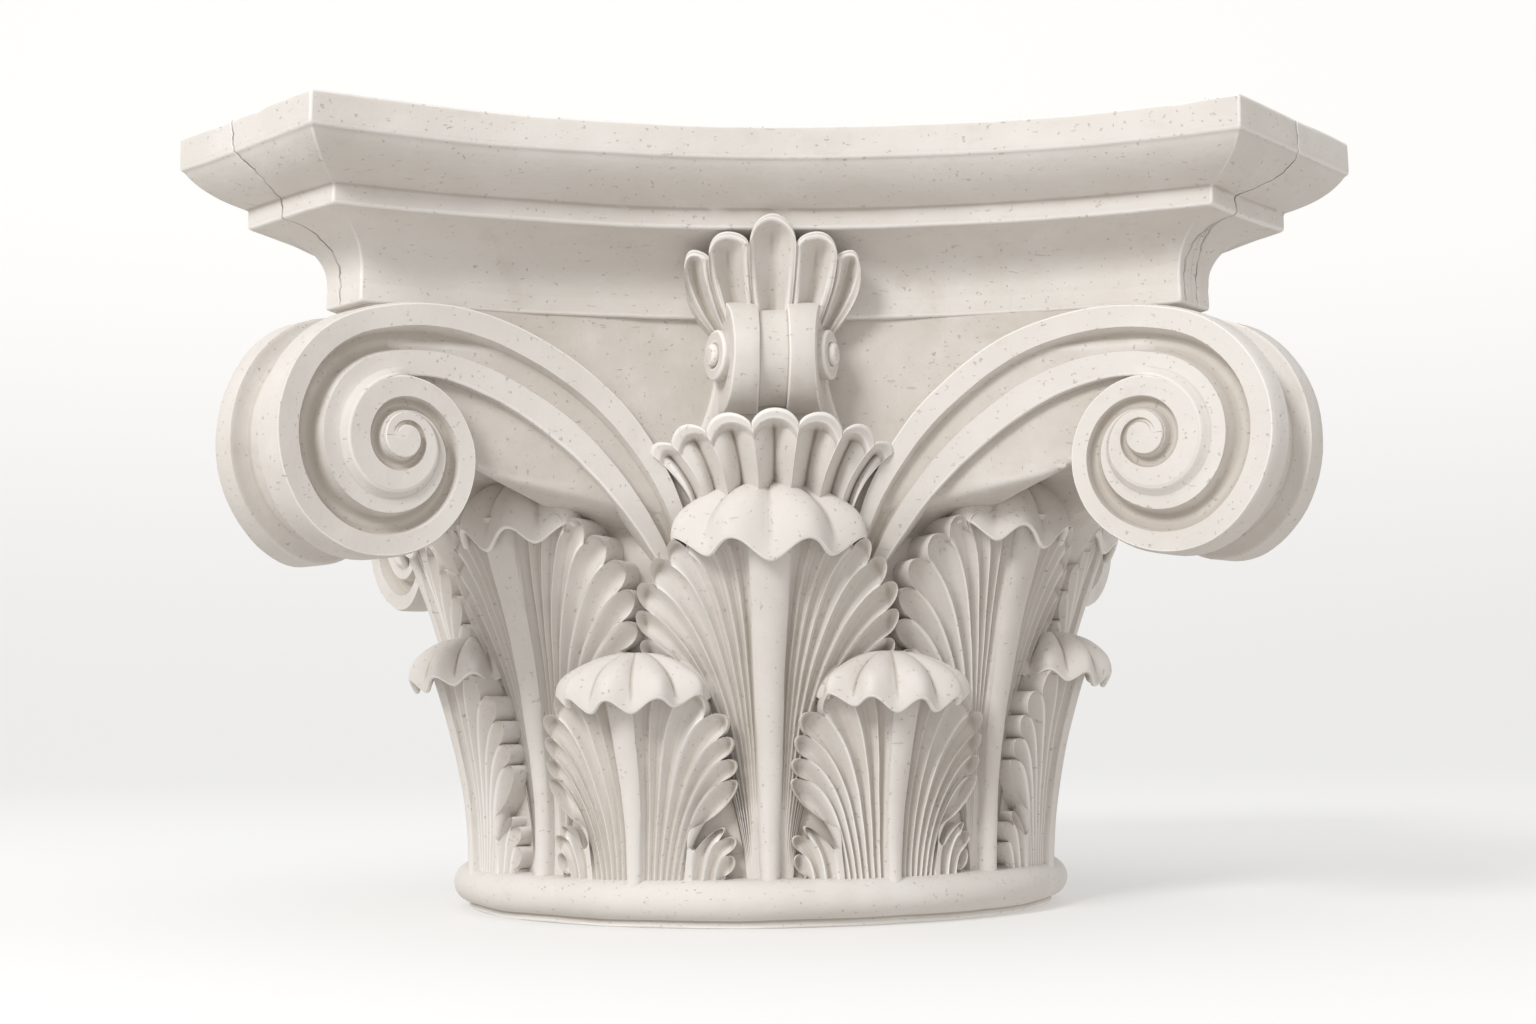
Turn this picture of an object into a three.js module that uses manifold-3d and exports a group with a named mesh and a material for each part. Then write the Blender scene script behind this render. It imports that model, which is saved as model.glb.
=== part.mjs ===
// A Corinthian capital carved from one block: bed and astragal, bell, two rows of acanthus leaves,
// corner volutes, calyx fans, centre scrolls, palmettes and a moulded abacus with hollow sides.
// Millimetres, +Z up, origin at the centre of the bottom bed, front towards -Y.
import * as THREE from "three";
import { mergeVertices } from "three/addons/utils/BufferGeometryUtils.js";
import Module from "manifold-3d";

// Bed and astragal
const BED_RADIUS = 145.2;
const BED_HEIGHT = 3.5;
const ASTRAGAL_CENTRE = 144.5;
const ASTRAGAL_RADIUS = 8.5;
const LEAF_FOOT = 21.5;

// Abacus: corner of a hollow side, its middle, and the heights of its mouldings
const ABACUS_CORNER = [183.5, 251];
const ABACUS_MIDDLE = 205.8;
const ABACUS_TOP = 336.5;
const FASCIA_BOTTOM = 322;
const OVOLO = { inset: 3.5, bottom: 306.6, depth: 19.5, height: 14.4 };
const FILLET = { inset: 23, bottom: 298 };
const NECK = { inset: 50, bottom: 264.5, top: 276 };

// Bell, and the hollow wall that carries the volutes
const BELL_RADIUS = 134;
const BELL_FLARE = 0.055;
const WALL = { centre: 468.6, radius: 319.1, start: 145, full: 200, cornerStart: 172, cornerFull: 212 };

// Volute: the face is a hollow cylinder, the spiral shrinks by a fixed share each turn
const FACE = { centre: 468.6, radius: 311.6 };
const SPIRAL = { s: -161, z: 206, size: 63.9, decay: 0.1274, width: 0.958, shiftS: -0.087, shiftZ: -0.141 };
const SPIRAL_START = THREE.MathUtils.degToRad(100);
const SPIRAL_TURNS = 2;
const TURN_STEPS = 10;
const TURN_RISE = 2.5;
const STEM_STEPS = 4;
const STEM_OUTER = [[-34, 145], [-27, 196], [-90, 285]];
const STEM_INNER = [[-60, 135], [-70, 199], [-117, 245]];
const STEM_RECEDE = { from: 215, to: 150, depth: 18 };
const VOLUTE_PROFILE = [[0, 0], [0.31, 0], [0.485, -5], [0.66, 0], [1, 0]];
const EDGE_CHANNEL = { fillet: 0.2, depth: 4.5 };

// Leaves: tips of the lobes on one side, as distance from the rib and height, from the top down
const LEAF_COUNT = 8;
const LEAF_REF = 150;
const LEAF_BACK = 126;
const LOWER_LEAF = {
  tips: [[43, 91], [47, 79.5], [48, 68.5], [47, 58.5], [45, 43], [49, 30]],
  eye: { after: 3, at: [30, 36] },
  foot: LEAF_FOOT, top: 104, rib: 5, reed: 3.4, droop: 0.0035,
  radius: (z) => 144 + 20 * Math.pow(Math.max(z - 21, 0) / 86, 1.3),
  cap: { ridgeAtMiddle: true, axis: 150, reach: 30, half: 35, level: 97, rise: 20, drop: 3.5 },
};
const UPPER_LEAF = {
  tips: [[47, 168], [53, 158], [57, 147], [57, 134], [56, 120]],
  eye: null,
  foot: 108, top: 172, rib: 7, reed: 4, droop: 0.0043,
  radius: (z) => 142 + 34 * Math.pow(Math.max(z - 21, 0) / 144, 1.7),
  cap: { ridgeAtMiddle: false, axis: 155, reach: 33, half: 41, level: 163, rise: 24.5, drop: 6 },
};
const LOWER_LIFT = { most: 10, power: 2 };
const UPPER_LIFT = { most: 13, power: 0.75 };
const UPPER_STALK = { half: 9, top: 114 };
const LEAF_ROWS = [0, 0.6, 1];
const NOTCH_DEPTH = 5;
const FLUTE_DEPTH = 3.2;
const RIB_RISE = 2.5;
const CAP_SECTORS = 16;
const CAP_RIDGE = 0.05;
const CAP_HOLLOW = 3;

// Calyx fan, centre scroll and palmette on the middle of each side
const FAN = {
  lobes: 7, z: 141, inner: 48, outer: 79, spread: 39, foot: 158, rim: 188,
  scallop: 2.5, flute: 3, back: 140, sink: 8,
};
const PALMETTE = {
  lobes: 5, z: 250, inner: 14, outer: 50, spread: 56, foot: 168, rim: 195,
  scallop: 3, flute: 4, back: 150, sink: 0,
};
const SCROLL = { y: 164, z: 244, radius: 23, core: 19, groove: 6.2, end: 24, sides: 10 };
const SLIVER = 1.2;

const STONE = { color: 0xcfc8bc, roughness: 0.9, metalness: 0 };

const wasm = await Module();
wasm.setup();

const smooth = THREE.MathUtils.smoothstep;
const mix = THREE.MathUtils.lerp;
const rad = THREE.MathUtils.degToRad;

// A point from its distance to the axis, its angle from the front towards +X, and its height
function polar(radius, angle, z) {
  return new THREE.Vector3(radius * Math.sin(angle), -radius * Math.cos(angle), z);
}

// Evenly spaced numbers from start to end
function spaced(start, end, steps) {
  return Array.from({ length: steps + 1 }, (_, i) => mix(start, end, i / steps));
}

// A closed body from corner points and triangles, turned to face outwards
function solid(points, triangles) {
  const geometry = new THREE.BufferGeometry().setFromPoints(points);
  geometry.setIndex(triangles);
  const merged = mergeVertices(geometry, 1e-3);
  const kept = [];
  let volume = 0;
  const corner = [new THREE.Vector3(), new THREE.Vector3(), new THREE.Vector3()];
  for (let i = 0; i < merged.index.count; i += 3) {
    const ids = [0, 1, 2].map((k) => merged.index.getX(i + k));
    if (new Set(ids).size < 3) continue;
    kept.push(ids);
    ids.forEach((id, k) => corner[k].fromBufferAttribute(merged.attributes.position, id));
    volume += corner[0].dot(corner[1].clone().cross(corner[2]));
  }
  const triVerts = new Uint32Array(kept.flatMap((t) => (volume < 0 ? [t[0], t[2], t[1]] : t)));
  const vertProperties = merged.attributes.position.array;
  return new wasm.Manifold(new wasm.Mesh({ numProp: 3, vertProperties, triVerts }));
}

// A closed body from a three.js geometry whose vertices are moved by a function
function moulded(geometry, move) {
  const bare = new THREE.BufferGeometry();
  bare.setAttribute("position", geometry.getAttribute("position"));
  const merged = mergeVertices(bare.setIndex(geometry.index), 1e-5);
  const place = merged.getAttribute("position");
  const vertex = (_, i) => move(new THREE.Vector3().fromBufferAttribute(place, i));
  const points = Array.from({ length: place.count }, vertex);
  return solid(points, Array.from(merged.index.array));
}

// A closed body between two grids of points with the same rows and columns
function slab(front, back) {
  const rows = front.length;
  const columns = front[0].length;
  const points = [...front.flat(), ...back.flat()];
  const id = (side, i, j) => side * rows * columns + i * columns + j;
  const triangles = [];
  const quad = (a, b, c, d) => triangles.push(a, b, c, a, c, d);
  for (let i = 0; i < rows - 1; i++) {
    for (let j = 0; j < columns - 1; j++) {
      quad(id(0, i, j), id(0, i, j + 1), id(0, i + 1, j + 1), id(0, i + 1, j));
      quad(id(1, i, j), id(1, i + 1, j), id(1, i + 1, j + 1), id(1, i, j + 1));
    }
    quad(id(0, i, 0), id(0, i + 1, 0), id(1, i + 1, 0), id(1, i, 0));
    quad(id(0, i + 1, columns - 1), id(0, i, columns - 1), id(1, i, columns - 1), id(1, i + 1, columns - 1));
  }
  for (let j = 0; j < columns - 1; j++) {
    quad(id(0, 0, j + 1), id(0, 0, j), id(1, 0, j), id(1, 0, j + 1));
    quad(id(0, rows - 1, j), id(0, rows - 1, j + 1), id(1, rows - 1, j + 1), id(1, rows - 1, j));
  }
  return solid(points, triangles);
}

// A closed body from a stack of closed rings, flat at both ends
function stack(rings) {
  const count = rings[0].length;
  const points = rings.flat();
  const triangles = [];
  for (let i = 0; i < rings.length - 1; i++) {
    for (let j = 0; j < count; j++) {
      const k = (j + 1) % count;
      const [a, b, c, d] = [i * count + j, i * count + k, (i + 1) * count + k, (i + 1) * count + j];
      triangles.push(a, b, c, a, c, d);
    }
  }
  [[0, true], [rings.length - 1, false]].forEach(([row, turned]) => {
    const middle = points.push(new THREE.Vector3(0, 0, rings[row][0].z)) - 1;
    for (let j = 0; j < count; j++) {
      const ends = [row * count + j, row * count + ((j + 1) % count)];
      triangles.push(middle, ...(turned ? ends.reverse() : ends));
    }
  });
  return solid(points, triangles);
}

// Bed, astragal and the flat underside, turned about the axis
function buildAstragal() {
  const round = spaced(-90, 90, 4).map((turn) => new THREE.Vector2(
    ASTRAGAL_CENTRE + ASTRAGAL_RADIUS * Math.cos(rad(turn)),
    BED_HEIGHT + ASTRAGAL_RADIUS * (1 + Math.sin(rad(turn))),
  ));
  const profile = [new THREE.Vector2(0, 0), new THREE.Vector2(BED_RADIUS, 0),
    new THREE.Vector2(BED_RADIUS, BED_HEIGHT), ...round.slice(1), new THREE.Vector2(0, round.at(-1).y)];
  return moulded(new THREE.LatheGeometry(profile, 36), (p) => new THREE.Vector3(p.x, p.z, p.y));
}

// The outline of the abacus, moved inwards by an inset: four hollow arcs joined by corner chamfers
function abacusRing(inset, z) {
  const sag = ABACUS_CORNER[1] - ABACUS_MIDDLE;
  const radius = (ABACUS_CORNER[0] ** 2 + sag ** 2) / (2 * sag);
  const centre = ABACUS_MIDDLE + radius;
  const corner = ABACUS_CORNER[0] + ABACUS_CORNER[1] - Math.SQRT2 * inset;
  const reach = radius + inset;
  const half = Math.PI / 4 + Math.asin((corner - centre) / (Math.SQRT2 * reach));
  const side = spaced(-half, half, 7).map((turn) => new THREE.Vector3(
    reach * Math.sin(turn), -(centre - reach * Math.cos(turn)), z));
  return [0, 1, 2, 3].flatMap((quarter) => side.map((p) =>
    p.clone().applyAxisAngle(new THREE.Vector3(0, 0, 1), quarter * Math.PI / 2)));
}

// Neck, cavetto, fillet, ovolo and fascia of the abacus
function buildAbacus() {
  const cavetto = spaced(0, 90, 2).map((turn) => [
    NECK.inset - (NECK.inset - FILLET.inset - 2) * (1 - Math.cos(rad(turn))),
    mix(NECK.top, FILLET.bottom, Math.sin(rad(turn))),
  ]);
  const ovolo = spaced(0, 90, 3).map((turn) => [
    FILLET.inset - OVOLO.depth * Math.sin(rad(turn)),
    OVOLO.bottom + OVOLO.height * (1 - Math.cos(rad(turn))),
  ]);
  const profile = [[NECK.inset, NECK.bottom], ...cavetto, [FILLET.inset, FILLET.bottom], ...ovolo,
    [0, FASCIA_BOTTOM], [0, ABACUS_TOP]];
  return stack(profile.map(([inset, z]) => abacusRing(inset, z)));
}

// The bell, round below and spreading to the hollow wall behind the volutes above
function buildBell() {
  const ring = (z) => spaced(0, 360, 24).slice(0, -1).map((turn) => {
    const fold = rad(Math.abs(((turn + 45) % 90) - 45));
    const across = WALL.radius ** 2 - (WALL.centre * Math.sin(fold)) ** 2;
    const wall = WALL.centre * Math.cos(fold) - Math.sqrt(Math.max(across, 0));
    const bell = BELL_RADIUS + BELL_FLARE * (z - LEAF_FOOT);
    const limit = mix(150, 253, smooth(z, WALL.cornerStart, WALL.cornerFull));
    return polar(Math.min(mix(bell, wall, smooth(z, WALL.start, WALL.full)), limit), rad(turn), z);
  });
  return stack([10, 145, 172, 192, 212, NECK.bottom + 2].map(ring));
}

// A leaf seen flat: curved lines run up beside the rib from the foot and bend out to the lobes
function leafLine(leaf, start, end, p) {
  const lean = mix(0.3, 0.8, smooth(end[1], leaf.foot, leaf.top));
  const spread = end[0] - start;
  const curve = new THREE.CubicBezierCurve(
    new THREE.Vector2(start, leaf.foot),
    new THREE.Vector2(start + 0.1 * spread, mix(leaf.foot, end[1], 0.5)),
    new THREE.Vector2(start + 0.5 * spread, end[1] - 0.4 * lean * spread),
    new THREE.Vector2(end[0], end[1]),
  );
  return curve.getPoint(p);
}

// The ends of the lines on one side, from the rib outwards: notches and lobe tips by turns
function leafEnds(leaf) {
  const tips = leaf.tips;
  const notches = tips.slice(1).map((tip, i) => {
    if (leaf.eye && leaf.eye.after === i) return leaf.eye.at;
    const out = new THREE.Vector2((tip[0] + tips[i][0]) / 2, (tip[1] + tips[i][1]) / 2);
    const inwards = new THREE.Vector2(-1, -0.45).setLength(NOTCH_DEPTH);
    return out.add(inwards).toArray();
  });
  const last = tips.at(-1);
  notches.push([last[0] - 4, last[1] - 4]);
  return [[0.7 * leaf.rib, leaf.top], ...tips.flatMap((tip, i) => [tip, notches[i]])];
}

// Half a leaf with its rib, as a body reaching back into the bell
function buildLeafHalf(leaf, side, angle, lift) {
  const raised = (z) => z + lift * Math.max(z - leaf.foot, 0) / (leaf.top - leaf.foot);
  const lines = [LEAF_ROWS.map((p) => [0, mix(leaf.foot, leaf.top, p), RIB_RISE])];
  leafEnds(leaf).forEach((end, i) => {
    const start = leaf.rib + leaf.reed * i / 2;
    const valley = i % 2 === 1;
    lines.push(LEAF_ROWS.map((p) => {
      const at = leafLine(leaf, start, end, p);
      const depth = FLUTE_DEPTH * mix(0.4, 1, Math.sin(Math.PI * Math.min(p, 0.8) / 1.6));
      return [at.x, at.y, valley ? -depth : 0];
    }));
  });
  const grid = (back) => lines.map((line) => line.map(([p, z, rise]) => {
    const front = leaf.radius(z) - leaf.droop * p * p + rise;
    return polar(back ? LEAF_BACK : front, angle + side * p / LEAF_REF, raised(z));
  }));
  return slab(grid(false), grid(true));
}

// The stalk of an upper leaf, between two lower leaves
function buildStalk(angle) {
  const grid = (back) => [LEAF_FOOT, UPPER_STALK.top].map((z) => [-1, 0, 1].map((k) => {
    const radius = back ? LEAF_BACK : UPPER_LEAF.radius(z) + (k === 0 ? RIB_RISE : 0);
    return polar(radius, angle + k * UPPER_STALK.half / LEAF_REF, z);
  }));
  return slab(grid(false), grid(true));
}

// The overhanging tip of a leaf: a ridged dome with a scalloped lip, hollow below
function buildCap(leaf, angle, lift) {
  const { axis, reach, half, level, rise, drop, ridgeAtMiddle } = leaf.cap;
  return moulded(new THREE.SphereGeometry(1, CAP_SECTORS, 4), (p) => {
    const around = Math.atan2(p.x, p.z);
    const ridge = Math.abs(Math.cos(around * CAP_SECTORS / 4 + (ridgeAtMiddle ? 0 : Math.PI / 2)));
    const latitude = Math.asin(THREE.MathUtils.clamp(p.y, -1, 1));
    const flat = Math.cos(latitude);
    const lip = latitude < -0.1 && flat > 0.1;
    const out = (lip ? 0.98 : flat) * (1 + CAP_RIDGE * (2 * ridge - 1));
    const dome = latitude < -0.1 ? CAP_HOLLOW : rise * Math.sin(latitude);
    const z = level + (lip ? -drop * (1.4 - ridge) : dome);
    const outwards = axis + out * reach * Math.cos(around);
    const across = out * half * Math.sin(around);
    return polar(Math.hypot(outwards, across), angle + Math.atan2(across, outwards), z + lift);
  });
}

// A point on the hollow face of the volutes, standing out by a rise
function onFace(s, z, rise) {
  const turn = s / FACE.radius;
  const reach = FACE.radius - rise;
  return new THREE.Vector3(reach * Math.sin(turn), reach * Math.cos(turn) - FACE.centre, z);
}

// A point of the spiral at an angle that grows towards the eye
function spiral(theta) {
  const size = SPIRAL.size * Math.exp(-SPIRAL.decay * (theta - Math.PI / 2));
  return [SPIRAL.s + size * (SPIRAL.width * Math.cos(theta) + SPIRAL.shiftS),
    SPIRAL.z + size * (Math.sin(theta) + SPIRAL.shiftZ)];
}

// One edge of the stem, from its foot to the start of the spiral
function stemEdge(handles, theta, t) {
  const points = [...handles, spiral(theta)].map(([s, z]) => new THREE.Vector2(s, z));
  return new THREE.CubicBezierCurve(...points).getPoint(t).toArray();
}

// The band of a volute at one angle: two flat edges and a channel between them
function bandRow(outer, inner, rise) {
  return VOLUTE_PROFILE.map(([share, relief]) => {
    const [s, z] = [0, 1].map((k) => mix(outer[k], inner[k], share));
    return onFace(s, z, relief + rise(share, z));
  });
}

// The rows of a volute's band, up the stem from its sunken foot and then round the spiral
function voluteRows() {
  const sunk = (z) => 1 - smooth(z, STEM_RECEDE.to, STEM_RECEDE.from);
  const stem = spaced(0, 1, STEM_STEPS).slice(0, -1).map((t) => bandRow(
    stemEdge(STEM_OUTER, SPIRAL_START, t),
    stemEdge(STEM_INNER, SPIRAL_START + 2 * Math.PI, t),
    (share, z) => TURN_RISE * share * t - STEM_RECEDE.depth * sunk(z),
  ));
  const turns = spaced(0, SPIRAL_TURNS, TURN_STEPS * SPIRAL_TURNS).map((turn) => {
    const theta = SPIRAL_START + 2 * Math.PI * turn;
    return bandRow(spiral(theta), spiral(theta + 2 * Math.PI), (share) => TURN_RISE * (turn + share));
  });
  return [...stem, ...turns];
}

// The two volutes that meet at a corner: bands on both faces and a hollow edge between them
function buildCorner() {
  const rows = voluteRows();
  const last = VOLUTE_PROFILE.length - 1;
  const end = rows.length - 1;
  const eye = onFace(SPIRAL.s, SPIRAL.z, TURN_RISE * (SPIRAL_TURNS + 1));
  const points = [];
  const triangles = [];
  const face = (...corners) => {
    const ids = corners.map((corner) => points.push(corner) - 1);
    for (let k = 1; k < ids.length - 1; k++) triangles.push(ids[0], ids[k], ids[k + 1]);
  };
  const across = (p) => new THREE.Vector3(p.y, p.x, p.z);
  const bothFaces = (...corners) => {
    face(...corners);
    face(...corners.map(across).reverse());
  };
  for (let i = 0; i < end; i++) {
    for (let k = 0; k < last; k++) bothFaces(rows[i][k], rows[i + 1][k], rows[i + 1][k + 1], rows[i][k + 1]);
  }
  const lastTurn = rows.slice(end - TURN_STEPS).map((row) => row[last]);
  const inner = [...lastTurn, ...rows[end].slice(1, last).reverse()];
  inner.forEach((p, i) => bothFaces(p, inner[(i + 1) % inner.length], eye));
  const outside = rows.slice(0, STEM_STEPS + TURN_STEPS + 1).map((row) => row[0]);
  const inside = rows.slice(0, STEM_STEPS).map((row) => row[last]).reverse();
  const rim = [...outside, ...inside, ...rows[0].slice(1, last).reverse()];
  const edge = rim.map((p, i) => {
    const middle = p.clone().add(across(p)).multiplyScalar(0.5);
    const centre = eye.clone().add(across(eye)).multiplyScalar(0.5);
    const hollow = i >= STEM_STEPS && i < outside.length - 1 ? EDGE_CHANNEL.depth : 0;
    middle.add(centre.sub(middle).setLength(hollow));
    return [p, p.clone().lerp(across(p), EDGE_CHANNEL.fillet), middle];
  });
  edge.forEach((from, i) => {
    const to = edge[(i + 1) % edge.length];
    for (let k = 0; k < 2; k++) bothFaces(to[k], from[k], from[k + 1], to[k + 1]);
  });
  return solid(points, triangles);
}

// Flutes spreading from a point to a scalloped rim that leans outwards: the calyx fan and the palmette
function buildFan(fan) {
  const columns = spaced(-fan.lobes, fan.lobes, 2 * fan.lobes);
  const point = (column, share, back) => {
    const valley = Math.abs(column) % 2 === (fan.lobes + 1) % 2;
    const turn = rad(fan.spread) * column / fan.lobes;
    const reach = mix(fan.inner, fan.outer, share) + (valley ? fan.scallop : -fan.scallop) * share;
    const front = mix(fan.foot, fan.rim, share ** 1.5) - (valley ? fan.flute * (1 - share / 2) : 0);
    const x = reach * Math.sin(turn);
    const z = fan.z + reach * Math.cos(turn) - (back ? fan.sink * share : 0);
    return polar(back ? fan.back : front, x / fan.rim, z);
  };
  const grid = (back) => [0, 1].map((share) => columns.map((column) => point(column, share, back)));
  return slab(grid(false), grid(true));
}

// The scroll above the fan, turned about an axis along the side
function buildScroll() {
  const { radius, core, groove, end, sides } = SCROLL;
  const half = [[core, groove], [radius, groove], [radius, end], [0, end]];
  const profile = [...half.slice().reverse().map(([r, x]) => [r, -x]), ...half];
  const turned = new THREE.LatheGeometry(profile.map(([r, x]) => new THREE.Vector2(r, x)), sides);
  return moulded(turned, (p) => new THREE.Vector3(p.y, -SCROLL.y + p.x, SCROLL.z + p.z));
}

// Bodies joined into one
function join(bodies) {
  return wasm.Manifold.union(bodies);
}

// The outer skin of a joined body, without the sealed gaps and slivers left between its pieces
function outerSkin(body) {
  const largest = (pieces) => pieces.reduce((most, piece) => (piece.volume() > most.volume() ? piece : most));
  return largest(largest(body.decompose()).asOriginal().simplify(SLIVER).decompose());
}

// A body repeated on all four sides
function onFourSides(body) {
  return join([0, 90, 180, 270].map((turn) => body.rotate([0, 0, turn])));
}

// The whole capital as one closed body
function buildCapital() {
  const leaves = [LOWER_LEAF, UPPER_LEAF].flatMap((leaf, row) => {
    const step = 2 * Math.PI / LEAF_COUNT;
    return spaced(0, LEAF_COUNT - 1, LEAF_COUNT - 1).flatMap((i) => {
      const angle = step * (i + (row === 0 ? 0.5 : 0));
      const { most, power } = row === 0 ? LOWER_LIFT : UPPER_LIFT;
      const lift = most * Math.abs(Math.sin(angle)) ** power;
      const halves = [1, -1].map((side) => buildLeafHalf(leaf, side, angle, lift));
      return [...halves, buildCap(leaf, angle, lift), ...(row === 0 ? [] : [buildStalk(angle)])];
    });
  });
  const volutes = onFourSides(buildCorner());
  const middles = onFourSides(join([buildFan(FAN), buildScroll(), buildFan(PALMETTE)]));
  return outerSkin(join([buildAstragal(), buildBell(), buildAbacus(), ...leaves, volutes, middles]));
}

// A three.js geometry from a closed body
function toGeometry(body) {
  const { numProp, vertProperties, triVerts } = body.getMesh();
  const geometry = new THREE.BufferGeometry();
  geometry.setAttribute("position", new THREE.BufferAttribute(vertProperties, numProp));
  geometry.setIndex(new THREE.BufferAttribute(triVerts, 1));
  geometry.computeVertexNormals();
  return geometry;
}

const capital = new THREE.Mesh(toGeometry(buildCapital()), new THREE.MeshStandardMaterial(STONE));
capital.name = "capital";
const group = new THREE.Group();
group.add(capital);

export default group;
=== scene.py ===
import math

import bpy
import numpy as np
from mathutils import Matrix, Vector


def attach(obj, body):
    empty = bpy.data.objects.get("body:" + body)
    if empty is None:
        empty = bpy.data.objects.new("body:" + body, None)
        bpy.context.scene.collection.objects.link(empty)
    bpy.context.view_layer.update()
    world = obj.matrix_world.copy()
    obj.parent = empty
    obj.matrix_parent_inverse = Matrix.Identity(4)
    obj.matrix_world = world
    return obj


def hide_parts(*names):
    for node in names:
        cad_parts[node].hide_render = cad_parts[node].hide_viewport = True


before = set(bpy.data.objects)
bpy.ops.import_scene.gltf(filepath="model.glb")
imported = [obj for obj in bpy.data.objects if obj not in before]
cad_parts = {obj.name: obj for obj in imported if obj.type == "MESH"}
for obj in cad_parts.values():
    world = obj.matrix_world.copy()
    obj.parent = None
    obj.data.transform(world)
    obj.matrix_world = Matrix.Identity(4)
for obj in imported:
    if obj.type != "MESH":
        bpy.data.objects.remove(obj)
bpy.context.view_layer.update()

# The Corinthian capital's carving, stone and studio. Lengths are millimetres until a mesh is made.
SEED = 11
MM = 0.001

# Bed, astragal and bell, with outlines as radius and height
BED_RADIUS = 145.2
BED_HEIGHT = 3.5
BED_OUTLINE = ((0, 0), (70, 0), (130, 0), (BED_RADIUS - 0.6, 0), (BED_RADIUS, 0.6), (BED_RADIUS, 1.8),
               (BED_RADIUS - 0.2, 3.3))
BED_INSIDE = (0, 0, 12)
ASTRAGAL_CENTRE = 144.5
ASTRAGAL_RADIUS = 8.5
ASTRAGAL_TUCK = ((140, 20.9), (130, 21))
LEAF_FOOT = 21.5
BELL_RADIUS = 137.5
BELL_FLARE = 0.055
BELL_FOOT = 20
BELL_WAIST = (140, 144)
BELL_OVERLAP = 3
BELL_COLUMNS = 480
# One entry here darkens the whole bell and its hollow walls with painted shade, as they lie back under the
# abacus
WALL = {"centre": 468.6, "radius": 317, "start": 143, "full": 192, "corner": (170, 210),
        "limit": (150, 253), "behind_caps": 14, "caps_from": (34, 42), "under_neck": (246, 256),
        "neck_gap": 1.5, "dirt": 0.5, "round": 3}

# Abacus
ABACUS_CORNER = (183.5, 251)
ABACUS_MIDDLE = 205.8
ABACUS_SAG = ABACUS_CORNER[1] - ABACUS_MIDDLE
ABACUS_ARC = (ABACUS_CORNER[0] ** 2 + ABACUS_SAG ** 2) / (2 * ABACUS_SAG)
ABACUS_CENTRE = ABACUS_MIDDLE + ABACUS_ARC
ABACUS_TOP = 336.5
ABACUS_INSIDE = (0, 0, 250)
TOP_INSET = 14
TOP_RINGS = (0.15, 0.4, 0.7, 1)
FASCIA_BOTTOM = 322
OVOLO = {"bottom": 306.6, "height": 14.6, "ledge": 1.5, "turn": (15, 57)}
FILLET = {"inset": 23, "bottom": 298, "undercut": 2}
NECK = {"inset": 50, "core": 62, "bottom": 264.5, "top": 276, "line": 272.6, "line_half": 0.6,
        "line_depth": 0.7}
ARRIS_TRIM = {"sharp": 1.1, "worn": 4}
ABACUS_COLUMNS = 96
CHAMFER_COLUMNS = 9
PROFILE_STEP = 1.3

# Chips along the mouldings: for each size its length, where it begins and is full, and its share
CHIPS = {"sizes": ((34, 1.1, 2.4, 0.8), (11, 1.4, 2.6, 0.5)), "from": (285, 300), "soft": 22, "wear": 0.7}

# Cracks down the chamfers: the corner, counted round from the front left, and the path across and down
CRACKS = (
    (0, ((-8, 336.5), (-7, 322), (-5, 320), (-1, 312), (-5, 306), (-4.5, 298), (-2.5, 285), (-2, 264))),
    (1, ((0, 336.5), (1, 322), (3, 320), (-2, 312), (-11, 306), (-10, 298), (-4, 292), (1, 284),
         (2.2, 264))),
    (1, ((-10, 298), (-9.5, 290), (-9, 280), (-8.5, 264))),
    (2, ((6, 336.5), (4, 322), (9, 313), (7, 306), (8, 298), (10, 290))),
    (3, ((-12, 336.5), (-10, 322), (-14, 314), (-6, 306))),
)
CRACK_GROOVE = {"across": (-1.2, -0.4, 0, 0.4, 1.2), "depth": (0, 0.2, 1.1, 0.2, 0)}
CRACK_WANDER = ((0.4, 0.9), (0.25, 2.1))
CRACK_CLOSES = (-1, 6)
CRACK_REACH = 190
CRACK_ON_TOP = (293, 304)

# Volutes
FACE = {"centre": 468.6, "radius": 311.6}
SPIRAL = {"s": -161, "z": 206, "size": 63.9, "decay": 0.1274, "width": 0.958, "shift": (-0.087, -0.141)}
SPIRAL_START = math.radians(100)
SPIRAL_TURNS = 2.2
SPIRAL_TIGHTENS = (1.4, 2.0, 0.87)
TURN_LEVEL = {"most": 8.5, "rate": 0.8}
EYE_TURNS = (1.85, 2.2)
TURN_ROWS = 64
STEM_ROWS = 60
STEM_BELOW = 0.1
STEM_OUTER = ((-34, 145), (-27, 196), (-90, 285))
STEM_INNER = ((-36, 138), (-60, 182), (-117, 246))
STEM_RECEDE = {"from": 190, "to": 145, "depth": 14}
STEM_STEPS = 0.93
STEM_SINK = (0, 0.5, 3, 9, 16)
BAND_FIRST = (0, 0.31, 0.66, 0.84, 1)
BAND_LATER = (0, 0.56, 0.94, 0.955, 1)
BAND_CHANGE = (0.55, 1.0)
BAND_ARRIS = {"fall": 0.4, "outer": (0, 0.012), "inner": (0.985, 1)}
# The last entry darkens the volute channel with painted shade
CHANNEL = {"depth": 7.2, "share": 0.3, "square": 5, "dirt": 0.5}
EDGE_CHANNEL = {"share": (0.27, 0.73), "depth": 8, "square": 14, "full": 4, "ends": (0.57, 0.7),
                "proud": 0.7, "arris": 0.03}
EDGE_LEAD = 10

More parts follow.
